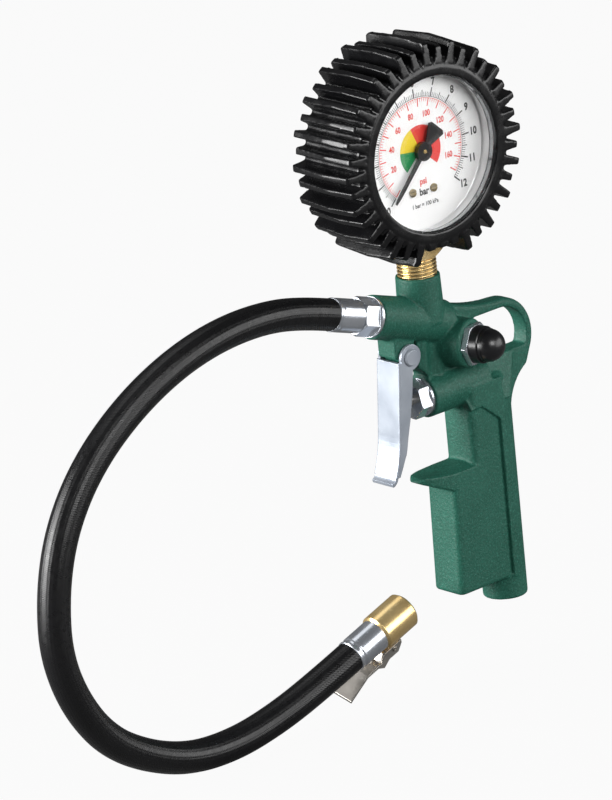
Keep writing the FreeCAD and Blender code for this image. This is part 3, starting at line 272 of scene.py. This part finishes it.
def powder_coat():
    """Semi-matt green coat with a fine orange-peel grain and lighter specks that are painted
    highlights, the glints of that grain.
    """
    material, shader = new_material("powder_coat", Specular_IOR_Level=0.3)
    tone = remap(material, noise(material, 60, 3), 0.3, 0.7, 0, 1)
    colour = blend_colours(material, tone, (0.009, 0.072, 0.048), (0.013, 0.088, 0.060))
    # Painted highlight: light specks in the colour stand for glints of the orange-peel grain
    grain_glint = remap(material, noise(material, 1600, 2, 0.6), 0.5, 0.72, 0, 0.55)
    glinted_colour = blend_colours(material, grain_glint, (0, 0, 0), (0.04, 0.19, 0.14))
    wire(material, colour, glinted_colour.node.inputs[6])
    wire(material, glinted_colour, shader.inputs["Base Color"])
    gloss = remap(material, noise(material, 900, 2), 0.35, 0.65, 0.42, 0.58)
    wire(material, gloss, shader.inputs["Roughness"])
    bump(material, shader, noise(material, 1000, 3, 0.65), 0.4 * mm, 0.65)
    return material


def moulded_rubber():
    """Satin black rubber with slightly worn, duller patches."""
    material, shader = new_material("moulded_rubber", Specular_IOR_Level=0.4)
    colour = blend_colours(material, noise(material, 90, 3), (0.0025, 0.0025, 0.003),
                           (0.006, 0.006, 0.0065))
    wire(material, colour, shader.inputs["Base Color"])
    gloss = remap(material, noise(material, 160, 3), 0.3, 0.7, 0.18, 0.32)
    wire(material, gloss, shader.inputs["Roughness"])
    bump(material, shader, noise(material, 1200, 2), 0.05 * mm, 0.4)
    return material


def hose_rubber():
    """Black rubber with the print of the cloth it was cured in: threads along and across it."""
    material, shader = new_material("hose_rubber", Specular_IOR_Level=0.34)
    colour = blend_colours(material, noise(material, 60, 2), (0.003, 0.003, 0.0035),
                           (0.007, 0.007, 0.0075))
    wire(material, colour, shader.inputs["Base Color"])
    along = add_node(material, "ShaderNodeTexCoord").outputs["UV"]
    slant = 0.06
    threads = []
    for turn, scale in ((0.0, 150.0), (math.pi / 2, 9.0)):
        place = add_node(material, "ShaderNodeMapping")
        place.inputs["Rotation"].default_value = (0, 0, turn + slant)
        wire(material, along, place.inputs["Vector"])
        wave = add_node(material, "ShaderNodeTexWave", wave_type="BANDS", bands_direction="X",
                        Scale=scale, Distortion=1.2, Detail=1.0)
        wire(material, place.outputs["Vector"], wave.inputs["Vector"])
        threads.append(wave.outputs["Fac"])
    weave = add_node(material, "ShaderNodeMath", operation="ADD")
    wire(material, threads[0], weave.inputs[0])
    wire(material, threads[1], weave.inputs[1])
    gloss = remap(material, noise(material, 500, 3), 0.3, 0.7, 0.24, 0.36)
    wire(material, gloss, shader.inputs["Roughness"])
    woven = bump(material, shader, weave.outputs[0], 0.08 * mm, 0.4)
    bump(material, shader, noise(material, 1300, 2), 0.05 * mm, 0.4, woven)
    return material


def plain_rubber():
    """Matt black rubber of the seals."""
    material, shader = new_material("plain_rubber", Roughness=0.55)
    colour = blend_colours(material, noise(material, 200, 2), (0.014, 0.014, 0.014),
                           (0.022, 0.022, 0.022))
    wire(material, colour, shader.inputs["Base Color"])
    return material


def metal(name, dark, light, roughness, metallic=1.0):
    """Bright metal with slightly cloudy plating, a fine grain and softened edges."""
    material, shader = new_material(name, Metallic=metallic)
    cloud = noise(material, 90, 3)
    colour = blend_colours(material, remap(material, cloud, 0.3, 0.7, 0, 1), dark, light)
    wire(material, colour, shader.inputs["Base Color"])
    gloss = remap(material, cloud, 0.3, 0.7, roughness * 0.9, roughness * 1.1)
    wire(material, gloss, shader.inputs["Roughness"])
    edge = rounded(material, 0.3 * mm)
    bump(material, shader, noise(material, 900, 2), 0.03 * mm, 0.35, edge)
    return material


def black_plastic():
    """Glossy black of the button, the pointer and the ring round the button."""
    material, shader = new_material("black_plastic", Roughness=0.3)
    colour = blend_colours(material, noise(material, 120, 2), (0.005, 0.005, 0.006),
                           (0.008, 0.008, 0.009))
    wire(material, colour, shader.inputs["Base Color"])
    bump(material, shader, noise(material, 700, 2), 0.01 * mm, 0.3)
    return material


def window_glass():
    """Clear window, mostly transparent so that the dial behind it stays bright."""
    material, _ = new_material("window_glass", Roughness=0.02, IOR=1.45, Alpha=0.05,
                               Base_Color=(1, 1, 1, 1), Transmission_Weight=1.0)
    return material


def paint(name, colour):
    """Matt paint or printing ink with a slight change of tone."""
    material, shader = new_material(name, Roughness=0.5)
    darker = [c * (1 - 0.06) for c in colour]
    tone = blend_colours(material, noise(material, 400, 2), colour, darker)
    wire(material, tone, shader.inputs["Base Color"])
    return material


# Camera, light and floor


def place_camera():
    a = camera_turn
    e = camera_rise
    back = Vector((math.sin(a) * math.cos(e), -math.cos(a) * math.cos(e), math.sin(e)))
    level = Vector((math.cos(a), math.sin(a), 0))
    upright = back.cross(level)
    right = level * math.cos(camera_roll) + upright * math.sin(camera_roll)
    up = upright * math.cos(camera_roll) - level * math.sin(camera_roll)
    camera = link(bpy.data.objects.new("camera", bpy.data.cameras.new("camera")))
    camera.data.lens = camera_lens
    camera.data.sensor_width = camera_sensor
    camera.data.clip_end = camera_reach
    turn = Matrix((right, up, back)).transposed().to_4x4()
    camera.matrix_world = Matrix.Translation(camera_place) @ turn
    scene.camera = camera


def light_studio():
    """Softboxes with dark gaps between them: the key at the left, a broad fill at the right."""
    for name, place, size, power in softboxes:
        light = bpy.data.lights.new(name, "AREA")
        light.shape = "RECTANGLE"
        light.size, light.size_y = size
        light.energy = power
        box = link(bpy.data.objects.new(name, light))
        aim = Vector(light_target) - Vector(place)
        facing = aim.to_track_quat("-Z", "Y").to_matrix().to_4x4()
        box.matrix_world = Matrix.Translation(place) @ facing


def pale_world():
    """White to the camera, and a weak even light on the pieces."""
    world = bpy.data.worlds.new("studio")
    world.use_nodes = True
    scene.world = world
    background = world.node_tree.nodes["Background"]
    background.inputs["Color"].default_value = (1, 1, 1, 1)
    path = add_node(world, "ShaderNodeLightPath")
    level = add_node(world, "ShaderNodeMapRange")
    level.inputs["To Min"].default_value = world_light
    level.inputs["To Max"].default_value = 1.0
    wire(world, path.outputs["Is Camera Ray"], level.inputs["Value"])
    wire(world, level.outputs["Result"], background.inputs["Strength"])


def pale_floor():
    """Large pale floor just under the lowest piece, nearly white to the camera."""
    material = bpy.data.materials.new("floor")
    material.use_nodes = True
    material.node_tree.nodes.clear()
    grey = (floor_tone, floor_tone, floor_tone, 1)
    diffuse = add_node(material, "ShaderNodeBsdfDiffuse", Color=grey)
    glow = add_node(material, "ShaderNodeEmission", Strength=1.0)
    path = add_node(material, "ShaderNodeLightPath")
    share = add_node(material, "ShaderNodeMath", operation="MULTIPLY")
    share.inputs[1].default_value = floor_glow
    mix = add_node(material, "ShaderNodeMixShader")
    output = add_node(material, "ShaderNodeOutputMaterial")
    wire(material, path.outputs["Is Camera Ray"], share.inputs[0])
    for k, source in enumerate((share, diffuse, glow)):
        wire(material, source.outputs[0], mix.inputs[k])
    wire(material, mix.outputs[0], output.inputs[0])
    bm = bmesh.new()
    bmesh.ops.create_grid(bm, x_segments=1, y_segments=1, size=floor_half_side)
    floor = mesh_object("floor", bm)
    floor.location.z = cad_box[0][2] - floor_gap
    floor.data.materials.append(material)


# Hose


def make_hose(material, lever_coil):
    """Hose on a smooth curve with the route's points as its control points."""
    curve = bpy.data.curves.new("hose_cord", "CURVE")
    curve.dimensions = "3D"
    points = [hose_exit] + [Vector((x, 0, z)) for x, z in hose_route] + [hose_end]
    spline = curve.splines.new("NURBS")
    spline.points.add(len(points) - 1)
    for point, place in zip(spline.points, points):
        point.co = (*place, 1)
    spline.order_u = 3
    spline.use_endpoint_u = True
    spline.resolution_u = 10
    curve.bevel_depth = hose_diameter / 2
    curve.bevel_resolution = 12
    curve.use_fill_caps = True
    curve.materials.append(material)
    hose = link(bpy.data.objects.new("hose_cord", curve))
    on_pistol(hose, stands_for="hose")


# Soft-edged castings and mouldings


def softened(name, node, material, passes, keep, blends=()):
    """Copy of a CAD node with rounded edges and corners, as casting and moulding leave them.

    Each blend is the centre and the half sizes of an ellipsoid that fills a sharp nook.
    """
    bm = bmesh.new()
    bm.from_mesh(nodes[node].data)
    bmesh.ops.remove_doubles(bm, verts=bm.verts, dist=1e-6)
    for centre, half_sizes in blends:
        stretch = Matrix.Diagonal((*(Vector(half_sizes) * mm), 1))
        place = Matrix.Translation(Vector(centre) * mm) @ stretch
        bmesh.ops.create_icosphere(bm, subdivisions=4, radius=1, matrix=place)
    piece = mesh_object(name, bm)
    remesh = piece.modifiers.new("remesh", "REMESH")
    remesh.mode = "VOXEL"
    remesh.voxel_size = soft_voxel
    smooth = piece.modifiers.new("smooth", "SMOOTH")
    smooth.factor = 0.5
    smooth.iterations = passes
    thin = piece.modifiers.new("thin", "DECIMATE")
    thin.ratio = keep
    shaped = piece.evaluated_get(bpy.context.evaluated_depsgraph_get())
    mesh = bpy.data.meshes.new_from_object(shaped)
    piece.modifiers.clear()
    piece.data = mesh
    mesh.name = name
    mesh.shade_smooth()
    mesh.materials.clear()
    mesh.materials.append(material)
    on_pistol(piece, stands_for=node)


# Dial print


def dial_place(angle, radius):
    """Point just in front of the dial, turned about the stem as the whole gauge is."""
    a = math.radians(angle + dial_turn)
    stem_axis = Matrix.Translation((stem_axis_x, 0, 0))
    on_gauge = stem_axis @ Matrix.Rotation(gauge_turn, 4, "Z") @ stem_axis.inverted()
    return on_gauge @ Vector((gauge_centre.x + radius * math.cos(a), dial_front_y - print_gap,
                              gauge_centre.z + radius * math.sin(a)))


def printed(name, bm, ink):
    piece = mesh_object(name, bm)
    piece.data.materials.append(ink)
    on_pistol(piece)


def print_shapes(name, faces, ink):
    """Thin flat shapes, each face a list of (angle, radius) corners."""
    bm = bmesh.new()
    for corners in faces:
        bm.faces.new([bm.verts.new(dial_place(angle, radius)) for angle, radius in corners])
    bmesh.ops.recalc_face_normals(bm, faces=bm.faces)
    printed(name, bm, ink)


def print_words(name, entries, radius, size, ink, weight, width):
    """Upright words at their angles on one radius; weight thickens and width narrows them."""
    upright = Matrix.Rotation(gauge_turn, 4, "Z") @ Matrix.Rotation(math.radians(90), 4, "X")
    bm = bmesh.new()
    for text, angle in entries:
        curve = bpy.data.curves.new("word", "FONT")
        curve.body = text
        curve.size = size * mm
        curve.align_x = "CENTER"
        curve.align_y = "CENTER"
        curve.resolution_u = 3
        curve.offset = weight * mm
        holder = link(bpy.data.objects.new("word", curve))
        flat = bpy.data.meshes.new_from_object(holder)
        place = Matrix.Translation(dial_place(angle, radius * mm))
        flat.transform(place @ upright @ Matrix.Diagonal((width, 1, 1, 1)))
        bm.from_mesh(flat)
        bpy.data.objects.remove(holder)
    printed(name, bm, ink)


def tick(angle, inner, outer, width):
    """Corners of a radial tick with parallel sides."""
    lean_in = math.degrees(width / 2 / inner)
    lean_out = math.degrees(width / 2 / outer)
    return [(angle - lean_in, inner * mm), (angle - lean_out, outer * mm),
            (angle + lean_out, outer * mm), (angle + lean_in, inner * mm)]


def band(start, end, radii, steps):
    """Quads of an arc between two radii."""
    inner, outer = (radius * mm for radius in radii)
    turn = (end - start) / steps
    return [[(start + i * turn, inner), (start + i * turn, outer),
             (start + (i + 1) * turn, outer), (start + (i + 1) * turn, inner)]
            for i in range(steps)]


def bar_angle(value):
    return bar_zero - bar_sweep * value / bar_full


def psi_angle(value):
    return bar_angle(value / psi_in_bar)


def print_bar_scale(ink):
    whole = range(bar_full + 1)
    halves = [v + 0.5 for v in range(bar_full)]
    tenths = [v / 10 for v in range(10 * bar_full) if v % 5]
    marks = []
    for values, (top, width) in ((whole, bar_whole_tick), (halves, bar_half_tick),
                                 (tenths, bar_tenth_tick)):
        marks += [tick(bar_angle(v), bar_tick_foot, top, width) for v in values]
    marks += band(bar_angle(0), bar_angle(bar_full), bar_line, 100)
    print_shapes("bar_ticks", marks, ink)
    print_words("bar_numbers", [(str(v), bar_angle(v)) for v in whole], 24.7, 3.8, ink, 0.14, 0.85)
    print_words("bar_word", [("bar", dial_foot)], 15.0, 3.6, ink, 0.12, 0.9)
    print_words("unit_note", [("1 bar = 100 kPa", dial_foot)], 19.6, 2.1, ink, 0.05, 0.9)


def print_psi_scale(ink):
    tens = range(0, psi_full + 1, psi_step // 2)
    twos = [v for v in range(0, psi_full + 1, 2) if v % 10]
    numbered = range(psi_step, psi_full, psi_step)
    marks = band(psi_angle(0), psi_angle(psi_full), psi_line, 90)
    for values, (foot, width) in ((tens, psi_long_tick), (twos, psi_short_tick)):
        marks += [tick(psi_angle(v), foot, psi_tick_top, width) for v in values]
    print_shapes("inner_scale", marks, ink)
    inner = [(str(v), psi_angle(v)) for v in numbered]
    print_words("inner_numbers", inner, 13.3, 3.0, ink, 0.1, 0.8)
    print_words("psi_word", [("psi", dial_foot)], 11.2, 3.2, ink, 0.1, 0.9)


def print_sectors(inks):
    names = ("green_sector", "yellow_sector", "red_sector")
    for name, ink, start, end in zip(names, inks, sector_ends, sector_ends[1:]):
        print_shapes(name, band(start, end, sector_radii, 40), ink)


# Springs


def sprung(node, material):
    """Copy of a CAD spring that rides on the pistol in place of the CAD node."""
    coil = link(bpy.data.objects.new(node + "_coil", nodes[node].data.copy()))
    coil.matrix_world = nodes[node].matrix_world
    coil.data.materials.clear()
    coil.data.materials.append(material)
    coil.data.shade_smooth()
    on_pistol(coil, stands_for=node)
    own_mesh(coil)
    return coil


def make_springs(material):
    """Springs of both valves and of the clip lever; returns the last."""
    sprung("valve_spring", material)
    sprung("release_spring", material)
    return sprung("lever_spring", material)


# Thread on the brass stem


def groove(turns):
    """Depth below the crest after a number of turns: flat crest, sloping flanks, narrow root."""
    wave = abs(2 * (turns % 1.0) - 1)
    return thread_depth * min(1.0, max(0.0, (wave - thread_crest_share) / thread_flank_share))


def make_thread(crest_material, root_shade_material):
    """Screw thread that shows between the boss and the wrench square, with painted shade in its
    root.
    """
    length = thread_high - thread_low
    steps = int(length / thread_pitch * thread_rows_in_turn)
    bm = bmesh.new()
    rows = []
    for i in range(steps + 1):
        z = thread_low + length * i / steps
        row = []
        for k in range(thread_sides):
            depth = groove((z - thread_low) / thread_pitch - k / thread_sides)
            a = 2 * math.pi * k / thread_sides
            r = thread_r + thread_depth - depth
            row.append(bm.verts.new((stem_axis_x + r * math.cos(a), r * math.sin(a), z)))
        rows.append(row)
    for i, (low, high) in enumerate(zip(rows, rows[1:])):
        turns = (i + 0.5) / steps * length / thread_pitch
        for k in range(thread_sides):
            n = (k + 1) % thread_sides
            face = bm.faces.new((low[k], low[n], high[n], high[k]))
            depth = groove(turns - (k + 0.5) / thread_sides)
            # Faces deep in the root take the darker brass: painted shade
            face.material_index = int(depth > thread_shade_share * thread_depth)
    bm.faces.new(rows[0][::-1])
    bm.faces.new(rows[-1])
    piece = mesh_object("stem_thread", bm)
    piece.data.shade_smooth()
    piece.data.materials.append(crest_material)
    piece.data.materials.append(root_shade_material)
    on_pistol(piece)


# Rubber ring round the foot of the release button


def make_dust_ring(material):
    """Ring that lies on the release nut and lets the button slide inside it."""
    side = release_direction.cross(Vector((0, 0, 1)))
    bm = bmesh.new()
    rows = []
    for k in range(ring_steps):
        a = 2 * math.pi * k / ring_steps
        outward = side * math.cos(a) + Vector((0, 0, math.sin(a)))
        rows.append([bm.verts.new(release_foot + release_direction * along * mm + outward * r * mm)
                     for along, r in ring_section])
    for k in range(ring_steps):
        for i in range(len(ring_section)):
            n = (i + 1) % len(ring_section)
            bm.faces.new((rows[k][i], rows[k][n], rows[k - 1][n], rows[k - 1][i]))
    bmesh.ops.recalc_face_normals(bm, faces=bm.faces)
    piece = mesh_object("dust_ring", bm)
    piece.data.shade_smooth()
    keep_sharp(piece)
    piece.data.materials.append(material)
    on_pistol(piece)


place_camera()
light_studio()
pale_world()
pale_floor()

zinc = metal("bright_zinc", (0.52, 0.55, 0.60), (0.66, 0.69, 0.74), 0.22, 0.85)
satin_zinc = metal("satin_zinc", (0.31, 0.345, 0.40), (0.40, 0.435, 0.485), 0.33, 0.45)
brass = metal("turned_brass", (0.78, 0.54, 0.22), (0.88, 0.66, 0.32), 0.24, 0.8)
# Darker brass: on the dial screws it is painted dark reflection of their polished heads, and in the
# thread's root it is painted shade
screw_brass = metal("screw_brass", (0.20, 0.16, 0.09), (0.42, 0.33, 0.17), 0.3)
steel = metal("bright_steel", (0.36, 0.34, 0.31), (0.50, 0.47, 0.43), 0.3, 0.8)
bezel_steel = metal("bezel_steel", (0.32, 0.33, 0.34), (0.42, 0.43, 0.44), 0.14)
case_steel = metal("case_steel", (0.80, 0.80, 0.80), (0.90, 0.90, 0.90), 0.42)
glossy_black = black_plastic()
ink_black = paint("ink_black", (0.006, 0.006, 0.006))
ink_red = paint("ink_red", (0.78, 0.035, 0.025))
ink_green = paint("ink_green", (0.005, 0.27, 0.07))
ink_yellow = paint("ink_yellow", (0.88, 0.66, 0.02))

make_hose(hose_rubber(), make_springs(steel))
softened("casting", "pistol_body", powder_coat(), casting_passes, casting_keep,
         nooks)
softened("boot_moulding", "gauge_boot", moulded_rubber(), boot_passes, boot_keep)
print_bar_scale(ink_black)
print_psi_scale(ink_red)
print_sectors((ink_green, ink_yellow, ink_red))
make_thread(brass, screw_brass)
make_dust_ring(glossy_black)

dress(["trigger", "trigger_rivet"], satin_zinc)
dress(["valve_nut", "release_nut", "hose_nipple", "front_ferrule", "end_ferrule"], zinc)
dress(["gauge_stem", "pointer_shaft", "sector_gear", "movement_link", "movement_plates",
       "bourdon_tube", "release_seat", "release_stem", "chuck_body", "chuck_core_pin"], brass)
dress(["valve_stem", "chuck_lever", "lever_pin"], steel)
dress(["stem_seal", "lens_gasket", "valve_washer", "release_washer", "chuck_seal"], plain_rubber())
dress(["release_button", "gauge_pointer"], glossy_black)
dress(["gauge_bezel"], bezel_steel)
dress(["gauge_lens"], window_glass())
dress(["gauge_dial"], paint("dial_white", (0.975, 0.975, 0.97)))
dress(["gauge_case"], case_steel)
dress(["dial_screws"], screw_brass)
